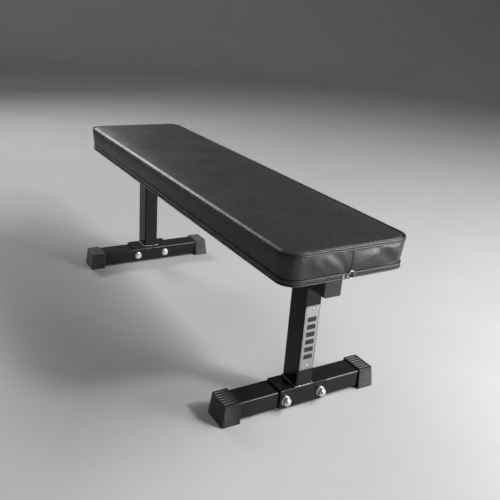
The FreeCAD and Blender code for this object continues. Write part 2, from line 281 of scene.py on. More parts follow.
def new_group(name, inputs, outputs):
    tree = bpy.data.node_groups.new(name, "ShaderNodeTree")
    for label, default in inputs:
        kind = "NodeSocketVector" if default is None else "NodeSocketFloat"
        socket = tree.interface.new_socket(name=label, in_out="INPUT", socket_type=kind)
        if default is not None:
            socket.default_value = default
    for label in outputs:
        tree.interface.new_socket(name=label, in_out="OUTPUT", socket_type="NodeSocketFloat")
    return tree, tree.nodes.new("NodeGroupInput"), tree.nodes.new("NodeGroupOutput")


def unevenness_group():
    """Slow cloudy change over a surface, from 0 to 1, with a little fine speckle in it."""
    sockets = [("Place", None), ("Scale", 8.0), ("Speckle", 0.2)]
    tree, ins, outs = new_group("Unevenness", sockets, ["Mask"])
    place, scale = ins.outputs["Place"], ins.outputs["Scale"]
    cloud = add(tree, "ShaderNodeTexNoise", {"Vector": place, "Scale": scale, "Detail": 4.0})
    fine = add(tree, "ShaderNodeMath", {0: scale, 1: SPECKLE_FINENESS}, operation="MULTIPLY")
    dots = add(tree, "ShaderNodeTexNoise", {"Vector": place, "Scale": fine.outputs[0], "Detail": 2.0})
    masks = {0: ins.outputs["Speckle"], 2: cloud.outputs[0], 3: dots.outputs[0]}
    blend = add(tree, "ShaderNodeMix", masks)
    ramp = add(tree, "ShaderNodeMapRange", {0: blend.outputs[0], 1: 0.3, 2: 0.7})
    tree.links.new(ramp.outputs[0], outs.inputs["Mask"])
    return tree


def grain_group():
    """Pebbled grain: rounded cells with creases between them, for vinyl, and finer for plastic."""
    sockets = [("Place", None), ("Scale", 900.0), ("Creases", 0.5)]
    tree, ins, outs = new_group("Pebble grain", sockets, ["Height"])
    place = ins.outputs["Place"]
    warp = add(tree, "ShaderNodeTexNoise", {"Vector": place, "Scale": 260.0, "Detail": 2.0})
    shift = add(tree, "ShaderNodeVectorMath", {0: warp.outputs[1], 3: 0.0012}, operation="SCALE")
    warped = add(tree, "ShaderNodeVectorMath", {0: place, 1: shift.outputs[0]}, operation="ADD")
    pebbles = {"Vector": warped.outputs[0], "Scale": ins.outputs["Scale"]}
    cells = add(tree, "ShaderNodeTexVoronoi", pebbles, feature="SMOOTH_F1")
    folds = add(tree, "ShaderNodeTexNoise", {"Vector": place, "Scale": 320.0, "Detail": 5.0})
    heights = {0: ins.outputs["Creases"], 2: cells.outputs[0], 3: folds.outputs[0]}
    blend = add(tree, "ShaderNodeMix", heights)
    tree.links.new(blend.outputs[0], outs.inputs["Height"])
    return tree


UNEVENNESS = unevenness_group()
GRAIN = grain_group()
print("groups:", UNEVENNESS.name, "and", GRAIN.name)


# %% [markdown]
# ## Starting a material
# Most finishes begin in the same way: a Principled shader, and one cloudy mask that moves colour
# and roughness between two ends. Writing that once leaves only what makes each finish different.

# %% Start a material
def use(tree, group, inputs):
    made = tree.nodes.new("ShaderNodeGroup")
    made.node_tree = group
    for key, value in inputs.items():
        if isinstance(value, bpy.types.NodeSocket):
            tree.links.new(value, made.inputs[key])
        else:
            made.inputs[key].default_value = value
    return made


def start(name, metallic=0.0, specular=0.5):
    """A new material: its node tree, its Principled shader and the Object coordinates."""
    material = bpy.data.materials.new(name)
    material.use_nodes = True
    tree = material.node_tree
    shader = tree.nodes["Principled BSDF"]
    shader.inputs["Metallic"].default_value = metallic
    shader.inputs["Specular IOR Level"].default_value = specular
    place = add(tree, "ShaderNodeTexCoord").outputs["Object"]
    return material, tree, shader, place


def between(tree, mask, low, high, socket):
    """Feed a socket with a value or colour that runs from low to high with a mask."""
    if isinstance(low, tuple):
        blend = add(tree, "ShaderNodeMix", {0: mask, 6: (*low, 1), 7: (*high, 1)}, data_type="RGBA")
        tree.links.new(blend.outputs[2], socket)
    else:
        span = add(tree, "ShaderNodeMapRange", {0: mask, 3: low, 4: high})
        tree.links.new(span.outputs[0], socket)


def bump(tree, shader, height, distance, strength=1.0, under=None):
    inputs = {"Height": height, "Distance": distance, "Strength": strength}
    if under:
        inputs["Normal"] = under.outputs[0]
    made = add(tree, "ShaderNodeBump", inputs)
    tree.links.new(made.outputs[0], shader.inputs["Normal"])
    return made


def noise_bump(tree, shader, place, scale, detail, distance, strength):
    noise = add(tree, "ShaderNodeTexNoise", {"Vector": place, "Scale": scale, "Detail": detail})
    bump(tree, shader, noise.outputs[0], distance, strength)


def uneven_finish(name, clouds, colours, roughness, **kind):
    """A material whose colour and roughness drift with a cloudy mask of a scale and a speckle."""
    material, tree, shader, place = start(name, **kind)
    cloud = use(tree, UNEVENNESS, {"Place": place, "Scale": clouds[0], "Speckle": clouds[1]})
    between(tree, cloud.outputs[0], *colours, shader.inputs["Base Color"])
    between(tree, cloud.outputs[0], *roughness, shader.inputs["Roughness"])
    return material, tree, shader, place


print("materials start from", UNEVENNESS.name)


# %% [markdown]
# ## The finishes
# One short function per finish. Vinyl has a pebbled grain about a millimetre across and a satin
# sheen; powder coat has a fine orange peel; zinc plating is bright with a slightly milky film;
# boots are matt moulded rubber; the nameplate is brushed along its length.

# %% Vinyl
def vinyl():
    material, tree, shader, place = start("black vinyl", specular=0.38)
    dark, light = (0.009, 0.009, 0.0094), (0.027, 0.027, 0.0274)
    cloud = use(tree, UNEVENNESS, {"Place": place, "Scale": 9.0, "Speckle": 0.3})
    blotches = {"Vector": place, "Scale": 170.0, "Detail": 3.0, "Roughness": 0.6}
    mottle = add(tree, "ShaderNodeTexNoise", blotches)
    patchy = add(tree, "ShaderNodeMapRange", {0: mottle.outputs[0], 1: 0.33, 2: 0.67})
    cover = add(tree, "ShaderNodeMix", {0: 0.55, 2: cloud.outputs[0], 3: patchy.outputs[0]})
    between(tree, cover.outputs[0], dark, light, shader.inputs["Base Color"])
    between(tree, cover.outputs[0], 0.3, 0.5, shader.inputs["Roughness"])
    soft = use(tree, UNEVENNESS, {"Place": place, "Scale": 26.0, "Speckle": 0.0})
    wide = bump(tree, shader, soft.outputs[0], 0.0012, 0.35)
    grain = use(tree, GRAIN, {"Place": place, "Scale": 620.0, "Creases": 0.5})
    bump(tree, shader, grain.outputs[0], 0.0006, 0.7, under=wide)
    return material


VINYL = vinyl()
print("made", VINYL.name)


# %% [markdown]
# ## Paint, plating and rubber
# Powder coat melts into a skin with a slight orange peel, zinc is a thin metal film with milky
# patches, and rubber copies the dull wall of its mould. All three are one mask and one fine noise,
# so their differences are only numbers.

# %% Powder coat, zinc and rubber
def powder_coat():
    colours = ((0.0055, 0.0055, 0.006), (0.011, 0.011, 0.0115))
    material, *nodes = uneven_finish("black powder coat", (14.0, 0.3), colours, (0.2, 0.28), specular=0.26)
    noise_bump(*nodes, 900.0, 2.0, 0.00012, 0.35)
    return material


def zinc():
    colours = ((0.58, 0.58, 0.57), (0.80, 0.80, 0.78))
    material, *nodes = uneven_finish("zinc plating", (60.0, 0.5), colours, (0.3, 0.46), metallic=1.0)
    noise_bump(*nodes, 700.0, 3.0, 0.0001, 0.3)
    return material


def boot_rubber():
    colours = ((0.008, 0.008, 0.008), (0.020, 0.020, 0.0195))
    material, *nodes = uneven_finish("moulded rubber", (30.0, 0.4), colours, (0.3, 0.42), specular=0.5)
    noise_bump(*nodes, 1400.0, 3.0, 0.0001, 0.4)
    return material


# %% [markdown]
# ## Plastic, cloth, wood and foam
# The end caps are grained plastic. The zip is woven tape with nylon teeth. Wave textures crossed at
# an angle make a weave, and the same waves stacked upwards make the plies of the board.

# %% Plastics, cloth, wood and foam
def cap_plastic():
    colours = ((0.010, 0.010, 0.010), (0.026, 0.026, 0.0255))
    material, tree, shader, place = uneven_finish(
        "cap plastic", (40.0, 0.5), colours, (0.42, 0.55), specular=0.4)
    grain = use(tree, GRAIN, {"Place": place, "Scale": 1300.0, "Creases": 0.3})
    bump(tree, shader, grain.outputs[0], 0.0002, 0.5)
    return material


def woven_tape():
    material, tree, shader, place = start("woven zip tape", specular=0.2)
    yarn = {"Vector": place, "Scale": 420.0, "Distortion": 0.4}
    warp = add(tree, "ShaderNodeTexWave", yarn, bands_direction="Z")
    weft = add(tree, "ShaderNodeTexWave", yarn, bands_direction="DIAGONAL")
    weave = add(tree, "ShaderNodeMath", {0: warp.outputs[1], 1: weft.outputs[1]}, operation="MULTIPLY")
    between(tree, weave.outputs[0], (0.008, 0.008, 0.008), (0.03, 0.03, 0.031), shader.inputs["Base Color"])
    shader.inputs["Roughness"].default_value = 0.8
    bump(tree, shader, weave.outputs[0], 0.0003, 0.7)
    return material


def coil_nylon():
    material, tree, shader, place = start("zip teeth nylon", specular=0.5)
    cloud = use(tree, UNEVENNESS, {"Place": place, "Scale": 90.0, "Speckle": 0.4})
    between(tree, cloud.outputs[0], (0.05, 0.05, 0.05), (0.12, 0.12, 0.12), shader.inputs["Base Color"])
    shader.inputs["Roughness"].default_value = 0.35
    return material


def plywood():
    material, tree, shader, place = start("birch plywood", specular=0.3)
    layers = {"Vector": place, "Scale": 110.0, "Distortion": 0.6}
    plies = add(tree, "ShaderNodeTexWave", layers, bands_direction="Z")
    between(tree, plies.outputs[1], (0.30, 0.19, 0.10), (0.58, 0.43, 0.27), shader.inputs["Base Color"])
    shader.inputs["Roughness"].default_value = 0.7
    bump(tree, shader, plies.outputs[1], 0.0002, 0.4)
    return material


def seat_foam():
    material, tree, shader, place = start("seat foam", specular=0.2)
    cells = add(tree, "ShaderNodeTexVoronoi", {"Vector": place, "Scale": 700.0})
    between(tree, cells.outputs[0], (0.55, 0.50, 0.34), (0.75, 0.70, 0.50), shader.inputs["Base Color"])
    shader.inputs["Roughness"].default_value = 0.95
    return material


def thread():
    material, tree, shader, place = start("sewing thread", specular=0.3)
    twist = add(tree, "ShaderNodeTexWave", {"Vector": place, "Scale": 700.0}, bands_direction="DIAGONAL")
    between(tree, twist.outputs[1], (0.006, 0.006, 0.006), (0.022, 0.022, 0.023), shader.inputs["Base Color"])
    shader.inputs["Roughness"].default_value = 0.55
    bump(tree, shader, twist.outputs[1], 0.0002, 0.6)
    return material


# %% [markdown]
# ## Nameplate and zip metal
# The nameplate is brushed along its length: noise squeezed along one axis by a Mapping node draws
# the fine lines. The zip's slider and ring are a darker metal, a little worn.

# %% Bright and dark metal of the nameplate and the zip
def plate_alloy():
    material, tree, shader, place = start("brushed nameplate alloy", metallic=1.0)
    stretched = add(tree, "ShaderNodeMapping", {"Vector": place, "Scale": (1.0, 1.0, 0.03)})
    lines = add(tree, "ShaderNodeTexNoise", {"Vector": stretched.outputs[0], "Scale": 1500.0, "Detail": 3.0})
    cloud = use(tree, UNEVENNESS, {"Place": place, "Scale": 120.0, "Speckle": 0.6})
    between(tree, cloud.outputs[0], (0.27, 0.27, 0.265), (0.48, 0.48, 0.47), shader.inputs["Base Color"])
    between(tree, lines.outputs[0], 0.32, 0.52, shader.inputs["Roughness"])
    bump(tree, shader, lines.outputs[0], 0.00008, 0.4)
    return material


def plate_ink():
    colours = ((0.012, 0.012, 0.012), (0.03, 0.03, 0.03))
    return uneven_finish("nameplate ink", (150.0, 0.6), colours, (0.5, 0.65), specular=0.2)[0]


def zip_metal():
    colours = ((0.22, 0.22, 0.22), (0.42, 0.42, 0.41))
    return uneven_finish("gunmetal zip hardware", (200.0, 0.4), colours, (0.3, 0.45), metallic=1.0)[0]


print("metals can be made")


# %% [markdown]
# ## Dressing the CAD nodes
# The record says which finish slot each CAD node has. A table from slot to material dresses all of
# them in one loop, so that no node is forgotten.

# %% Finishes onto the CAD nodes
FINISHES = {
    "vinyl": VINYL,
    "foam": seat_foam(),
    "plywood": plywood(),
    "powder_coat": powder_coat(),
    "zinc": zinc(),
    "boot_rubber": boot_rubber(),
    "cap_plastic": cap_plastic(),
    "plate_alloy": plate_alloy(),
    "zip_tape": woven_tape(),
    "zip_coil": coil_nylon(),
    "zip_metal": zip_metal(),
}
THREAD = thread()
for part in frame["record"]["subparts"]:
    node = frame["nodes"][part["node"]]
    finish_here = FINISHES[part["material_slot"]]
    if not node.material_slots:
        node.data.materials.append(finish_here)
    for slot in node.material_slots:
        slot.material = finish_here
print("finishes:", ", ".join(FINISHES))


# %% [markdown]
# ## The seat's outline
# The pad is a long box with round corners seen from above. Its side walls lean in a little towards
# the hem. All the sewn bands follow the same outline, so it is worked out once from the CAD cover.

# %% Outline
COVER_LOW, COVER_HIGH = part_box("seat_cover")
WELT_LOW, WELT_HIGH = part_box("top_welt")
HALF_X, HALF_Y = WELT_HIGH.x, WELT_HIGH.y
CORNER = 42 * MM
HEM_TOP = COVER_LOW.z + 12 * MM


def rounded_block(name, inset, low, high, segments=10):
    """The seat's outline shrunk by inset, standing between two heights, left in edit mode."""
    x, y = HALF_X - inset, HALF_Y - inset
    made = cube(name, (-x, -y, low), (x, y, high))
    edit()
    pick("EDGE", lambda e: runs_along(e, 2))
    bpy.ops.mesh.bevel(offset=CORNER - inset, segments=segments, profile=0.5, affect="EDGES")
    return made


def ring_band(name, inset, low, high, depth, segments=10):
    """A flat belt round the seat: the block with its middle cut out."""
    made = rounded_block(name, inset, low, high, segments)
    pick("FACE", lambda f: abs(f.normal.z) > 0.9)
    bpy.ops.mesh.inset(thickness=depth)
    bpy.ops.mesh.delete(type="FACE")
    pick("EDGE", lambda e: e.is_boundary)
    bpy.ops.mesh.bridge_edge_loops()
    return made


def outline_places(inset, z, pitch):
    """Matrices round the outline: X runs along it, Y points out of the seat, Z is up."""
    straight_x, straight_y = HALF_X - CORNER, HALF_Y - CORNER
    radius = CORNER - inset
    arc = radius * math.pi / 2
    runs = []
    for quarter in range(4):
        side = straight_y if quarter % 2 == 0 else straight_x
        runs.append(("line", quarter, 2 * side))
        runs.append(("arc", quarter, arc))
    total = sum(length for _, _, length in runs)
    count = round(total / pitch)
    centres = ((1, 1), (-1, 1), (-1, -1), (1, -1))
    places = []
    for index in range(count):
        along = total * (index + 0.5) / count
        for kind, quarter, length in runs:
            if along <= length:
                break
            along -= length
        angle = quarter * math.pi / 2 + (along / radius if kind == "arc" else 0)
        out = Vector((math.cos(angle), math.sin(angle), 0))
        run = Vector((-out.y, out.x, 0))
        side_x, side_y = centres[quarter]
        spot = Vector((side_x * straight_x, side_y * straight_y, z)) + out * radius
        if kind == "line":
            spot -= run * (length - along)
        axes = Matrix((-run, out, Vector((0, 0, 1)))).transposed().to_4x4()
        places.append(Matrix.Translation(spot) @ axes)
    return places


def outline_depth(points):
    """How far inside the outline each point is, and which way is out."""
    qx = np.abs(points[:, 0]) - (HALF_X - CORNER)
    qy = np.abs(points[:, 1]) - (HALF_Y - CORNER)
    past = np.hypot(np.maximum(qx, 0), np.maximum(qy, 0))
    depth = CORNER - past - np.minimum(np.maximum(qx, qy), 0)
    in_corner = (qx > 0) & (qy > 0)
    along_x = np.where(in_corner, qx / np.maximum(past, 1e-9), (qx > qy) * 1.0)
    along_y = np.where(in_corner, qy / np.maximum(past, 1e-9), (qx <= qy) * 1.0)
    out = np.stack([along_x * np.sign(points[:, 0]), along_y * np.sign(points[:, 1])], axis=1)
    return depth, out


print("seat outline", round(2 * HALF_X, 3), "by", round(2 * HALF_Y, 3))


# %% [markdown]
# ## The padded cover
# Vinyl pulled over foam is a cloth problem: the panels swell gently between the seams that hold
# them. The block is cut into a grid fine enough to bend, the seams and the underside are pinned, and
# the Cloth solver blows the rest up a little. Its movement is then capped, because foam is firm.

# %% Cover blank
PITCH = 9 * MM
ROLL_OVER = 13 * MM
ROOF = COVER_HIGH.z - 3.8 * MM
CROWN = 3.6 * MM
SEAM_Y = -2 * MM
SEAM_CUTS = (-20, -16.5, -13.5, -11, -8.5, -6, -3.5, -1.2, 0, 1.2, 3.5, 8)
SKIN_INSET = 0.8 * MM
SKIN_FLOOR = COVER_LOW.z + 0.4 * MM


def cover_blank():
    rounded_block("seat_cover_skin", SKIN_INSET, SKIN_FLOOR, ROOF, 8)
    pick("EDGE", lambda e: min(v.co.z for v in e.verts) > ROOF - 0.1 * MM)
    bpy.ops.mesh.bevel(offset=ROLL_OVER, segments=6, profile=0.5, affect="EDGES")
    slice_at(0, steps(-HALF_X, HALF_X, PITCH))
    near_seam = [SEAM_Y + cut * MM for cut in SEAM_CUTS]
    slice_at(1, steps(-HALF_Y, near_seam[0], PITCH) + steps(near_seam[-1], HALF_Y, PITCH))
    slice_at(1, near_seam)
    slice_at(2, [HEM_TOP - 2.2 * MM, HEM_TOP + 0.6 * MM, HEM_TOP + 3.4 * MM])
    slice_at(2, steps(HEM_TOP + 3.4 * MM, ROOF - ROLL_OVER, 7 * MM))
    return done()


WALL_LEAN, LEAN_REACH = 5.5 * MM, 34 * MM
HEM_TUCK = 1.6 * MM
CROWN_REACH = 26 * MM


def shape_blank(points):
    """Lean the walls in towards the hem, tuck the strip behind the hem's folds, crown the top."""
    depth, out = outline_depth(points)
    z = points[:, 2]
    lean = WALL_LEAN * np.clip((WELT_LOW.z - z) / (WELT_LOW.z - HEM_TOP), 0, 1) ** 1.2
    tuck = np.where(z < HEM_TOP - 1 * MM, HEM_TUCK, 0)
    fade = np.clip(1 - depth / LEAN_REACH, 0, 1)
    moved = points.copy()
    moved[:, :2] -= out * ((lean + tuck) * fade)[:, None]
    top = np.clip((z - (ROOF - ROLL_OVER)) / ROLL_OVER, 0, 1)
    moved[:, 2] += CROWN * top * (1 - np.exp(-depth / CROWN_REACH))
    return moved


seat = cover_blank()
set_points(seat, shape_blank(points_of(seat)))
print("cover blank:", len(seat.data.vertices), "points")


# %% [markdown]
# ## Swelling the cover
# Only the panels between the seams may move. The wall at the zip end is sewn from a slightly longer
# strip than it needs, so it gets some spare length in the solver, and settles in soft folds.

# %% Cloth solver
TOP_CAP, SIDE_CAP = 1.3 * MM, 2.4 * MM
CLOTH_FRAMES = 20
CLOTH_SETTINGS = {
    "vertex_group_mass": "sewn",
    "vertex_group_shrink": "spare",
    "shrink_min": 0.0,
    "shrink_max": -0.06,
    "quality": 6,
    "mass": 0.25,
    "tension_stiffness": 30,
    "compression_stiffness": 12,
    "shear_stiffness": 8,
    "bending_stiffness": 0.6,
    "use_pressure": True,
    "uniform_pressure_force": 4,
}


def swell(piece):
    rest = points_of(piece)
    depth, _ = outline_depth(rest)
    z = rest[:, 2]
    on_rim = (z > WELT_LOW.z - 1 * MM) & (depth < 14 * MM)
    pinned = (z < HEM_TOP + 1 * MM) | on_rim
    sewn = piece.vertex_groups.new(name="sewn")
    sewn.add(np.nonzero(pinned)[0].tolist(), 1.0, "REPLACE")
    spare = piece.vertex_groups.new(name="spare")
    zip_end = (rest[:, 0] > HALF_X - 12 * MM) & (np.abs(rest[:, 1]) < HALF_Y - 20 * MM)
    spare.add(np.nonzero(zip_end & ~pinned)[0].tolist(), 1.0, "REPLACE")
    cloth = piece.modifiers.new("cloth", "CLOTH")
    for setting, value in CLOTH_SETTINGS.items():
        setattr(cloth.settings, setting, value)
    cloth.settings.effector_weights.gravity = 0
    cloth.collision_settings.use_collision = False
    scene = bpy.context.scene
    for step in range(1, CLOTH_FRAMES + 1):
        scene.frame_set(step)
    activate(piece)
    bpy.ops.object.modifier_apply(modifier="cloth")
    scene.frame_set(1)
    moved = points_of(piece) - rest
    far = np.linalg.norm(moved, axis=1)
    cap = np.where(z > WELT_HIGH.z, TOP_CAP, SIDE_CAP)
    print("solver moved the cover by up to", round(float(far.max()) * 1000, 1), "mm")
    scale = cap * np.tanh(far / cap) / np.maximum(far, 1e-9)
    set_points(piece, rest + moved * scale[:, None])


swell(seat)


# %% [markdown]
# ## Folds and the upright seam
# The strip round the sides is closed by one upright seam above the zip slider. Thread pulls the
# vinyl in, two short pleats stand beside the seam's top, and slack shows as slanting folds. These
# are moved in one by one like strokes of a sculpting brush: each stroke is a line on the end wall with
# a width and a height, where a negative height is a hollow.

# %% Strokes on the end wall
FOLD_GAIN = 1.4
SEAM_SINK, SEAM_SPREAD = 1.5 * MM, 1.4 * MM
STROKES = (
    # from (y, z), to (y, z), half-width, height, all in millimetres
    ((-64, 430), (-32, 404), 8, 2.0),
    ((-44, 436), (-18, 408), 7, -1.7),
    ((-92, 424), (-62, 402), 8, 1.1),
    ((-116, 440), (-100, 400), 10, -0.9),
    ((-14, 444), (-14.5, 426), 2.0, -1.0),
    ((-8.5, 444), (-9, 424), 1.8, -1.2),
    ((-11.2, 444), (-11.5, 424), 1.6, 0.7),
    ((16, 406), (74, 434), 12, 1.8),
    ((62, 440), (112, 404), 8, -2.2),
    ((98, 438), (124, 420), 9, 1.5),
    ((20, 440), (44, 440), 6, -0.8),
    ((-120, 398), (-8, 398), 5, -1.1),
    ((6, 398), (122, 398), 5, -1.1),
)


def stroke(points, start, end, width, height):
    """A soft ridge along a line on the end wall, in metres of movement outwards."""
    start, end = np.array(start) * MM, np.array(end) * MM
    line = end - start
    flat = points[:, 1:3]
    share = np.clip(((flat - start) @ line) / (line @ line), 0, 1)
    gap = np.linalg.norm(flat - (start + share[:, None] * line), axis=1)
    return FOLD_GAIN * height * MM * np.exp(-((gap / (width * MM)) ** 2))


def sculpt_end(points):
    depth, out = outline_depth(points)
    z = points[:, 2]
    wall = (out[:, 0] > 0.8) & (depth < 12 * MM)
    above_hem = np.clip((z - HEM_TOP) / (5 * MM), 0, 1)
    below_welt = np.clip((WELT_LOW.z + 1 * MM - z) / (5 * MM), 0, 1)
    sewn_edges = above_hem * below_welt
    push = sum(stroke(points, *values) for values in STROKES) * sewn_edges
    push -= SEAM_SINK * np.exp(-(((points[:, 1] - SEAM_Y) / SEAM_SPREAD) ** 2)) * sewn_edges**0.3
    moved = points.copy()
    moved[:, 0] += np.where(wall, push, 0)
    return moved


set_points(seat, sculpt_end(points_of(seat)))
modify(seat, "SUBSURF", levels=1, render_levels=1)
smooth(seat, 60)
finish(seat, "vinyl", VINYL, "seat_cover", "seat_foam")


# %% [markdown]
# ## Piping, stitches and hem
# The welt is two rolled ridges with a row of stitches in the valley between them. The hem has two
# rolls as well, and the zip runs between those. A roll is a belt with its edges bevelled round; a
# small slow waver keeps it from looking machined.

# %% Rolls
WAVES = ((61, 1.0, 0.0), (143, 0.7, 1.3), (317, 0.5, 2.1))
CUT_PITCH = 14 * MM


def waver(piece, amount):
    """Shift a sewn band up and down and in and out by a slow uneven wave along the seam."""
    points = points_of(piece)
    _, out = outline_depth(points)
    around = points[:, 0] + 1.7 * points[:, 1]
    wave = sum(share * np.sin(around * rate + phase) for rate, share, phase in WAVES)
    points[:, 2] += amount * 0.5 * wave
    points[:, :2] += out * (amount * 0.4 * np.sin(around * 97 + 0.5))[:, None]
    set_points(piece, points)


def roll(name, inset, low, high, depth, wave):
    band = ring_band(name, inset, low, high, depth)
    slice_at(0, steps(-(HALF_X - CORNER), HALF_X - CORNER, CUT_PITCH))
    slice_at(1, steps(-(HALF_Y - CORNER), HALF_Y - CORNER, CUT_PITCH))
    done()
    round_edges(band, min(depth, high - low) * 0.42, segments=3)
    waver(band, wave)
    smooth(band, 60)
    return band


WELT_MIDDLE = WELT_LOW.z + 3.2 * MM
ROLLS = (
    # name, inset, low, high, depth, waver, CAD nodes it stands for
    ("welt_upper_roll", 0.2 * MM, WELT_MIDDLE + 0.3 * MM, WELT_MIDDLE + 4.5 * MM, 4.4 * MM, 0.12 * MM, ()),
    ("welt_lower_roll", 0.1 * MM, WELT_MIDDLE - 4.3 * MM, WELT_MIDDLE - 0.3 * MM, 4.2 * MM, 0.12 * MM,
     ("top_welt",)),
    ("hem_upper_roll", 2.8 * MM, HEM_TOP - 2.8 * MM, HEM_TOP + 0.8 * MM, 4.0 * MM, 0.22 * MM, ()),
    ("hem_lower_roll", 3.0 * MM, COVER_LOW.z, COVER_LOW.z + 3.1 * MM, 4.2 * MM, 0.18 * MM, ()),
)
for name, *shape, nodes in ROLLS:
    finish(roll(name, *shape), "vinyl", VINYL, *nodes)


# %% [markdown]
# ## Stitches
# One stitch is a small stretched bead of thread. It is modelled once and set round the welt's
# valley at the sewing machine's pitch, and down the upright seam.

# %% Stitches
def bead(name, half_sizes, segments=8, rings=5):
    deselect()
    bpy.ops.mesh.primitive_uv_sphere_add(segments=segments, ring_count=rings, radius=1, scale=half_sizes)
    made = bpy.context.object
    made.name = name
    bpy.ops.object.transform_apply(location=True, rotation=True, scale=True)
    return made


def nearest_wall_x(skin, y, z):
    near = skin[skin[:, 0] > HALF_X - 16 * MM]
    return near[np.argmin(np.hypot(near[:, 1] - y, near[:, 2] - z)), 0]


WELT_STITCH, SEAM_STITCH = (1.55 * MM, 0.42 * MM, 0.5 * MM), (0.42 * MM, 0.5 * MM, 1.5 * MM)
WELT_STITCH_PITCH, SEAM_STITCH_PITCH = 4.3 * MM, 4.1 * MM
valley = outline_places(1.5 * MM, WELT_MIDDLE, WELT_STITCH_PITCH)
welt_stitches = copies("welt_stitches", bead("stitch", WELT_STITCH), valley)
smooth(welt_stitches, 80)
finish(welt_stitches, "zip_tape", THREAD)
skin_points = points_of(seat)
upright_places = []
for z in np.arange(HEM_TOP + 4 * MM, WELT_LOW.z - 1 * MM, SEAM_STITCH_PITCH):
    spot = Vector((nearest_wall_x(skin_points, SEAM_Y, z) + 0.1 * MM, SEAM_Y, z))
    upright_places.append(Matrix.Translation(spot))
upright_stitches = copies("seam_stitches", bead("stitch", SEAM_STITCH), upright_places)
smooth(upright_stitches, 80)
finish(upright_stitches, "zip_tape", THREAD)


# %% [markdown]
# ## Zip
# The tape is a woven belt behind the rolls. The chain is two rows of interlocking teeth: one tooth
# is modelled from a cube, with its head pinched, and copied round the outline. The second row is
# the same tooth turned over and shifted by half a pitch, so that the rows mesh.

# %% Zip tape and chain
TAPE_INSET = 7.4 * MM
CHAIN_MIDDLE = COVER_LOW.z + 6 * MM
TAPE_HALF = 3.6 * MM
TAPE_THICK = 1.4 * MM
TOOTH_PITCH = 3.2 * MM
tape = ring_band("zip_tape_belt", TAPE_INSET, CHAIN_MIDDLE - TAPE_HALF, CHAIN_MIDDLE + TAPE_HALF, TAPE_THICK)
slice_at(2, [CHAIN_MIDDLE - 0.3 * MM, CHAIN_MIDDLE + 0.3 * MM])
done()
smooth(tape, 40)
finish(tape, "zip_tape", FINISHES["zip_tape"], "zip_tape")


def zip_tooth():
    cube("tooth", (-0.75 * MM, -0.4 * MM, -2.5 * MM), (0.75 * MM, 1.9 * MM, 1.1 * MM))
    edit()
    slice_at(2, [-0.3 * MM])
    pick("VERT", lambda v: v.co.z > 0)
    bpy.ops.transform.resize(value=(0.72, 0.9, 1), center_override=(0, 0, 0))
    pick("EDGE", lambda e: middle(e).y > 1.5 * MM)
    bpy.ops.mesh.bevel(offset=0.3 * MM, segments=1, affect="EDGES")
    return done()


def chain_row(name, flip, shift):
    places = outline_places(TAPE_INSET, CHAIN_MIDDLE, TOOTH_PITCH)
    turn_over = Matrix.Rotation(math.pi, 4, "Y") if flip else Matrix.Identity(4)
    places = [place @ Matrix.Translation((shift, 0, 0)) @ turn_over for place in places]
    return copies(name, zip_tooth(), places)


rows = [chain_row("lower_teeth", False, 0), chain_row("upper_teeth", True, TOOTH_PITCH / 2)]
chain = join("zip_teeth", rows)
finish(chain, "zip_coil", FINISHES["zip_coil"], "zip_chain")


# %% [markdown]
# ## Rubber boots
# Each foot is capped by a moulded boot that flares towards the floor. Its ribs are grooves pushed
# into the block: the faces are cut into strips, and every second strip is inset and sunk. The inner
# end is hollow, so the tube really goes in.

# %% One boot
BOOT_LOW, BOOT_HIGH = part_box("boot_front_left")
BOOT_X = (BOOT_LOW.x + BOOT_HIGH.x) / 2
BOOT_FLARE = 4 * MM
FLARE_OUT = 7 * MM
BOOT_IN = min(abs(BOOT_LOW.y), abs(BOOT_HIGH.y))
BOOT_OUT = max(abs(BOOT_LOW.y), abs(BOOT_HIGH.y))
BORDER = 3.4 * MM
GROOVE_START = BOOT_IN + BORDER
GROOVE_END = BOOT_OUT - FLARE_OUT - 2.4 * MM
TOP_RIBS, TOP_GROOVE, TOP_DEPTH = 7, 4.4 * MM, 2.1 * MM
SIDE_RIBS, SIDE_GROOVE, SIDE_DEPTH = 10, 2.9 * MM, 1.9 * MM
SOCKET_WALL, END_WALL = 2.6 * MM, 11 * MM


def strip_edges(low, high, ribs, groove):
    """The places of the edges of the grooves between a number of equal ribs."""
    rib = (high - low - groove * (ribs - 1)) / ribs
    edges = []
    for index in range(ribs - 1):
        start = low + rib * (index + 1) + groove * index
        edges.append((start, start + groove))
    return edges


def inside(value, strips):
    return any(low < value < high for low, high in strips)


def boot_blank():
    """The flared block of the boot on the +X, +Y foot, left in edit mode; ribbed_boot cuts it into strips."""
    half = (BOOT_HIGH.x - BOOT_LOW.x) / 2
    cube("boot", (BOOT_X - half, BOOT_IN, 0), (BOOT_X + half, BOOT_OUT, BOOT_HIGH.z))
    edit()
    pick("VERT", lambda v: v.co.z > BOOT_HIGH.z / 2)
    narrow = (half - BOOT_FLARE) / half
    bpy.ops.transform.resize(value=(narrow, 1, 1), center_override=(BOOT_X, 0, 0))
    pick("VERT", lambda v: v.co.z > BOOT_HIGH.z / 2 and v.co.y > BOOT_IN + 1 * MM)
    bpy.ops.transform.translate(value=(0, -FLARE_OUT, 0))
    pick("EDGE", lambda e: middle(e).y > BOOT_IN + 1 * MM and middle(e).z > 5 * MM
         and not runs_along(e, 0) and abs(e.verts[0].co.z - e.verts[1].co.z) > 10 * MM)
    bpy.ops.mesh.bevel(offset=2 * MM, segments=3, affect="EDGES")


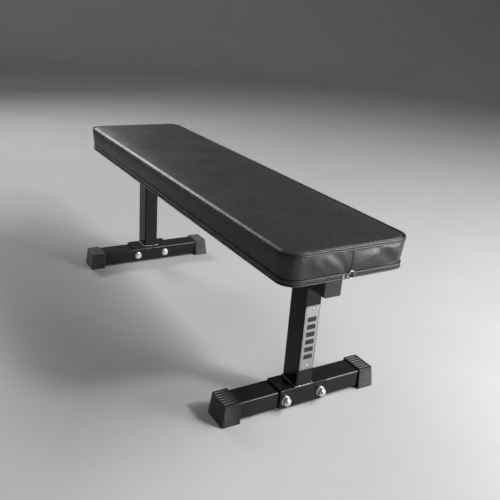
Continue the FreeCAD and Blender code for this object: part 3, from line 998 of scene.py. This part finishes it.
def ribbed_boot():
    boot_blank()
    half = (BOOT_HIGH.x - BOOT_LOW.x) / 2 - BOOT_FLARE
    top_strips = strip_edges(BOOT_X - half + 1.2 * MM, BOOT_X + half - 1.2 * MM, TOP_RIBS, TOP_GROOVE)
    side_strips = strip_edges(0.8 * MM, BOOT_HIGH.z - 1.6 * MM, SIDE_RIBS, SIDE_GROOVE)
    slice_at(0, [edge for strip in top_strips for edge in strip])
    slice_at(2, [edge for strip in side_strips for edge in strip])
    slice_at(1, [GROOVE_START, GROOVE_END])
    pick("FACE", lambda f: f.normal.y < -0.9)
    bpy.ops.mesh.inset(thickness=SOCKET_WALL)
    bpy.ops.mesh.inset(thickness=0.01 * MM, depth=-(BOOT_OUT - BOOT_IN - END_WALL))
    pick("FACE", lambda f: f.normal.z > 0.9 and inside(f.calc_center_median().x, top_strips)
         and GROOVE_START < f.calc_center_median().y < GROOVE_END
         and f.calc_center_median().z > BOOT_HIGH.z - 1 * MM)
    bpy.ops.mesh.inset(thickness=0.4 * MM, depth=-TOP_DEPTH)
    pick("FACE", lambda f: abs(f.normal.z) < 0.5 and f.normal.y > -0.5
         and inside(f.calc_center_median().z, side_strips)
         and f.calc_center_median().y > GROOVE_START
         and on_outer_face(f))
    bpy.ops.mesh.inset(thickness=0.35 * MM, depth=-SIDE_DEPTH)
    return done()


def on_outer_face(face):
    """True for the boot's outside walls, not the socket's."""
    centre = face.calc_center_median()
    up = centre.z / BOOT_HIGH.z
    wall_x = (BOOT_HIGH.x - BOOT_LOW.x) / 2 - BOOT_FLARE * up
    wall_y = BOOT_OUT - FLARE_OUT * up
    return abs(centre.x - BOOT_X) > wall_x - 1.5 * MM or centre.y > wall_y - 1.5 * MM


boot = ribbed_boot()
round_edges(boot, 0.65 * MM, segments=2, angle=40)
smooth(boot, 40)
print("one boot:", len(boot.data.polygons), "faces")


# %% [markdown]
# ## Four boots
# The boot is copied to the other feet. Two of them are mirrored across the bench, which turns a
# mesh inside out, so their faces are flipped back.

# %% Four boots
def moved_copy(template, name, shift_x, mirror_y):
    made = template.copy()
    made.data = template.data.copy()
    made.name = name
    bpy.context.scene.collection.objects.link(made)
    points = points_of(made)
    points[:, 0] += shift_x
    if mirror_y:
        points[:, 1] *= -1
    set_points(made, points)
    if mirror_y:
        activate(made)
        edit()
        bpy.ops.mesh.select_all(action="SELECT")
        bpy.ops.mesh.flip_normals()
        done()
    return made


for node in ("boot_front_left", "boot_front_right", "boot_rear_left", "boot_rear_right"):
    low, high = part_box(node)
    shift = (low.x + high.x) / 2 - BOOT_X
    made = moved_copy(boot, "ribbed_" + node, shift, low.y < 0)
    finish(made, "boot_rubber", FINISHES["boot_rubber"], node)
bpy.data.objects.remove(boot)


# %% [markdown]
# ## Weld beads
# A weld is a row of overlapping puddles that froze one after the other. One puddle is a squashed
# ball, copied along each joint with small changes of size, then the row is coated like the frame, with bright
# metal spots painted in as highlights.

# %% Puddles along the joints
WOBBLE = 0.12
SIDE_PUDDLE, SIDE_PITCH = 2.6 * MM, 2.0 * MM
FACE_PUDDLE, FACE_PITCH = 1.7 * MM, 1.6 * MM
TOP_PUDDLE, TOP_PITCH, TOP_REACH = 2.4 * MM, 2.0 * MM, 18 * MM


def bead_row(start, end, radius, pitch, seed):
    """Matrices for puddles from start to end, each a little different."""
    start, end = Vector(start), Vector(end)
    count = max(2, round((end - start).length / pitch))
    rng = np.random.default_rng(seed)
    places = []
    for index in range(count):
        spot = start.lerp(end, (index + 0.5) / count)
        wobble = Vector(rng.uniform(-WOBBLE, WOBBLE, 3)) * radius
        size = radius * rng.uniform(0.88, 1.1)
        turned = Matrix.Rotation(rng.uniform(-0.5, 0.5), 4, "Z")
        tilted = Matrix.Rotation(rng.uniform(-0.4, 0.4), 4, "X")
        places.append(Matrix.Translation(spot + wobble) @ turned @ tilted @ Matrix.Scale(size, 4))
    return places


def puddle():
    deselect()
    bpy.ops.mesh.primitive_ico_sphere_add(subdivisions=2, radius=1, scale=(1, 1, 0.8))
    bpy.ops.object.transform_apply(location=True, rotation=True, scale=True)
    return bpy.context.object


def foot_weld(end, seed):
    low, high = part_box(end + "_upright")
    z = low.z + 1.0 * MM
    rows = []
    for side, y in ((0, low.y - 0.9 * MM), (1, high.y + 0.9 * MM)):
        rows += bead_row((low.x, y, z), (high.x, y, z), SIDE_PUDDLE, SIDE_PITCH, seed + side)
    lower = z - 0.2 * MM
    for side, x in ((2, low.x - 0.2 * MM), (3, high.x + 0.2 * MM)):
        rows += bead_row((x, low.y, lower), (x, high.y, lower), FACE_PUDDLE, FACE_PITCH, seed + side)
    return rows


def top_weld(end, seed):
    low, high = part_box(end + "_upright")
    z = high.z - 1 * MM
    rows = []
    for side, x in ((4, low.x - 0.8 * MM), (5, high.x + 0.8 * MM)):
        rows += bead_row((x, -TOP_REACH, z), (x, TOP_REACH, z), TOP_PUDDLE, TOP_PITCH, seed + side)
    return rows


def weld_finish():
    material, tree, shader, place = start("coated weld", specular=0.6)
    spots = use(tree, UNEVENNESS, {"Place": place, "Scale": 260.0, "Speckle": 0.4})
    # painted highlights: a cloudy mask paints bright grey metal spots onto the black coat as the weld's
    # glints
    painted_highlight = add(tree, "ShaderNodeMapRange", {0: spots.outputs[0], 1: 0.45, 2: 0.7})
    between(tree, painted_highlight.outputs[0], (0.014, 0.014, 0.014), (0.55, 0.55, 0.53), shader.inputs["Base Color"])
    between(tree, painted_highlight.outputs[0], 0.24, 0.4, shader.inputs["Roughness"])
    tree.links.new(painted_highlight.outputs[0], shader.inputs["Metallic"])
    noise_bump(tree, shader, place, 900.0, 3.0, 0.0003, 0.4)
    return material


WELD = weld_finish()
for order, end in enumerate(("front", "rear")):
    joints = (("foot", foot_weld(end, 10 * order)), ("top", top_weld(end, 100 + 10 * order)))
    for kind, rows in joints:
        bead_mesh = copies(f"{end}_{kind}_weld_bead", puddle(), rows)
        smooth(bead_mesh, 70)
        finish(bead_mesh, "powder_coat", WELD, f"{end}_{kind}_weld")


# %% [markdown]
# ## Nameplate
# The plate itself comes from CAD. Its print is kept plain: a thin border line and a row of equal
# dark bars, raised by the thickness of a coat of ink, so that it says nothing at all.

# %% Border line and bars
PLATE_LOW, PLATE_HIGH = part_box("nameplate")
INK = 0.12 * MM
BORDER_INSET, BORDER_WIDTH, BORDER_CORNER = 2.2 * MM, 0.55 * MM, 2.4 * MM
BARS, BAR_HALF_WIDTH, BAR_HALF_HEIGHT, BAR_PITCH = 6, 12 * MM, 6 * MM, 19.5 * MM


def plate_block(name, low_yz, high_yz, corner):
    """A flat block with round corners lying on the plate."""
    low = (PLATE_HIGH.x - 0.05 * MM, *low_yz)
    cube(name, low, (PLATE_HIGH.x + INK, *high_yz))
    edit()
    pick("EDGE", lambda e: runs_along(e, 0))
    bpy.ops.mesh.bevel(offset=corner, segments=4, affect="EDGES")


def border_line():
    plate_block("border", (PLATE_LOW.y + BORDER_INSET, PLATE_LOW.z + BORDER_INSET),
                (PLATE_HIGH.y - BORDER_INSET, PLATE_HIGH.z - BORDER_INSET), BORDER_CORNER)
    pick("FACE", lambda f: abs(f.normal.x) > 0.9)
    bpy.ops.mesh.inset(thickness=BORDER_WIDTH)
    bpy.ops.mesh.delete(type="FACE")
    pick("EDGE", lambda e: e.is_boundary)
    bpy.ops.mesh.bridge_edge_loops()
    return done()


def plain_bars():
    bars = []
    middle_z = (PLATE_LOW.z + PLATE_HIGH.z) / 2
    for index in range(BARS):
        z = middle_z + (index - (BARS - 1) / 2) * BAR_PITCH
        low, high = (-BAR_HALF_WIDTH, z - BAR_HALF_HEIGHT), (BAR_HALF_WIDTH, z + BAR_HALF_HEIGHT)
        plate_block("bar", low, high, 1.2 * MM)
        bars.append(done())
    return bars


marks = join("nameplate_marks", [border_line(), *plain_bars()])
finish(marks, "plate_alloy", plate_ink())


# %% [markdown]
# ## Threads on the bolts
# The ends of the M12 bolts stand out of their nuts by two turns. A thread seen from outside is a
# stack of rings with sharp crests, so one ring is made and repeated at the thread's pitch.

# %% Thread turns
BOLT_LOW, BOLT_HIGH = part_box("base_bolts")
THREAD_PITCH = 1.75 * MM
THREAD_RADIUS, THREAD_CREST = 5.55 * MM, 0.62 * MM
BOLT_Y, BOLT_Z = 50 * MM, 28.5 * MM


def thread_turn():
    deselect()
    bpy.ops.mesh.primitive_torus_add(
        major_segments=28, minor_segments=6, major_radius=THREAD_RADIUS, minor_radius=THREAD_CREST,
        rotation=(0, math.pi / 2, 0))
    bpy.ops.object.transform_apply(location=True, rotation=True, scale=True)
    return bpy.context.object


turns = []
for side, tip in ((1, BOLT_HIGH.x), (-1, BOLT_LOW.x)):
    for y in (-BOLT_Y, BOLT_Y):
        for index in range(2):
            x = tip - side * (1.1 * MM + index * THREAD_PITCH)
            turns.append(Matrix.Translation((x, y, BOLT_Z)))
threads = copies("bolt_threads", thread_turn(), turns)
smooth(threads, 40)
finish(threads, "zinc", FINISHES["zinc"])


# %% [markdown]
# ## Studio
# A pale floor rises into a rim all round. Black pieces are drawn by their highlights, so each soft
# light stands where one set of edges mirrors it into the camera: the key for the end wall, the top
# light for the seat's near rim, the small edge light for the tubes and boots, and the rim light
# behind for the long left edge. The studio air adds a weak, even fill.

# %% Floor and lights
FLOOR_RADIUS, RIM_RADIUS, RIM_STEPS = 6, 2.5, 12


def studio_floor():
    deselect()
    bpy.ops.mesh.primitive_circle_add(vertices=96, radius=FLOOR_RADIUS, fill_type="NGON")
    floor = bpy.context.object
    floor.name = "studio_floor"
    edit()
    pick("EDGE", lambda e: e.is_boundary)
    length = RIM_RADIUS * math.pi / 2 / RIM_STEPS
    for step in range(RIM_STEPS):
        angle = math.radians(90 * (step + 0.5) / RIM_STEPS)
        out, rise = length * math.cos(angle), length * math.sin(angle)
        bpy.ops.mesh.extrude_edges_move()
        verts = bmesh.from_edit_mesh(floor.data).verts
        radius = max(math.hypot(v.co.x, v.co.y) for v in verts if v.select)
        wider = (radius + out) / radius
        bpy.ops.transform.resize(value=(wider, wider, 1), center_override=(0, 0, 0))
        bpy.ops.transform.translate(value=(0, 0, rise))
    done()
    smooth(floor, 60)
    material, tree, shader, place = start("studio paper", specular=0.2)
    cloud = use(tree, UNEVENNESS, {"Place": place, "Scale": 3.0, "Speckle": 0.2})
    between(tree, cloud.outputs[0], (0.37, 0.37, 0.367), (0.40, 0.40, 0.397), shader.inputs["Base Color"])
    shader.inputs["Roughness"].default_value = 0.75
    floor.data.materials.append(material)


def area_light(name, at, aim, size, power):
    data = bpy.data.lights.new(name, "AREA")
    data.shape = "RECTANGLE"
    data.size, data.size_y = size
    data.energy = power
    made = bpy.data.objects.new(name, data)
    bpy.context.scene.collection.objects.link(made)
    made.location = at
    made.rotation_euler = (Vector(aim) - Vector(at)).to_track_quat("-Z", "Y").to_euler()


LIGHTS = (
    # name, place, aim, size in metres, power in watts
    ("key", (2.1, 1.5, 0.62), (0.55, 0, 0.4), (0.9, 0.8), 54),
    ("top", (1.5, 2.3, 2.8), (0.25, 0, 0.3), (2.7, 1.0), 140),
    ("edge", (2.25, 1.34, 2.05), (0.5, 0, 0.15), (0.42, 0.3), 50),
    ("rim", (-3.1, -0.3, 2.1), (0, 0, 0.4), (1.3, 0.8), 56),
)
AIR_COLOUR, AIR_STRENGTH = (0.9, 0.93, 1.0, 1), 0.15
studio_floor()
for values in LIGHTS:
    area_light(*values)
world = bpy.data.worlds.new("studio air")
bpy.context.scene.world = world
world.use_nodes = True
air = world.node_tree.nodes["Background"]
air.inputs[0].default_value = AIR_COLOUR
air.inputs[1].default_value = AIR_STRENGTH
bpy.context.scene.view_settings.view_transform = "Standard"
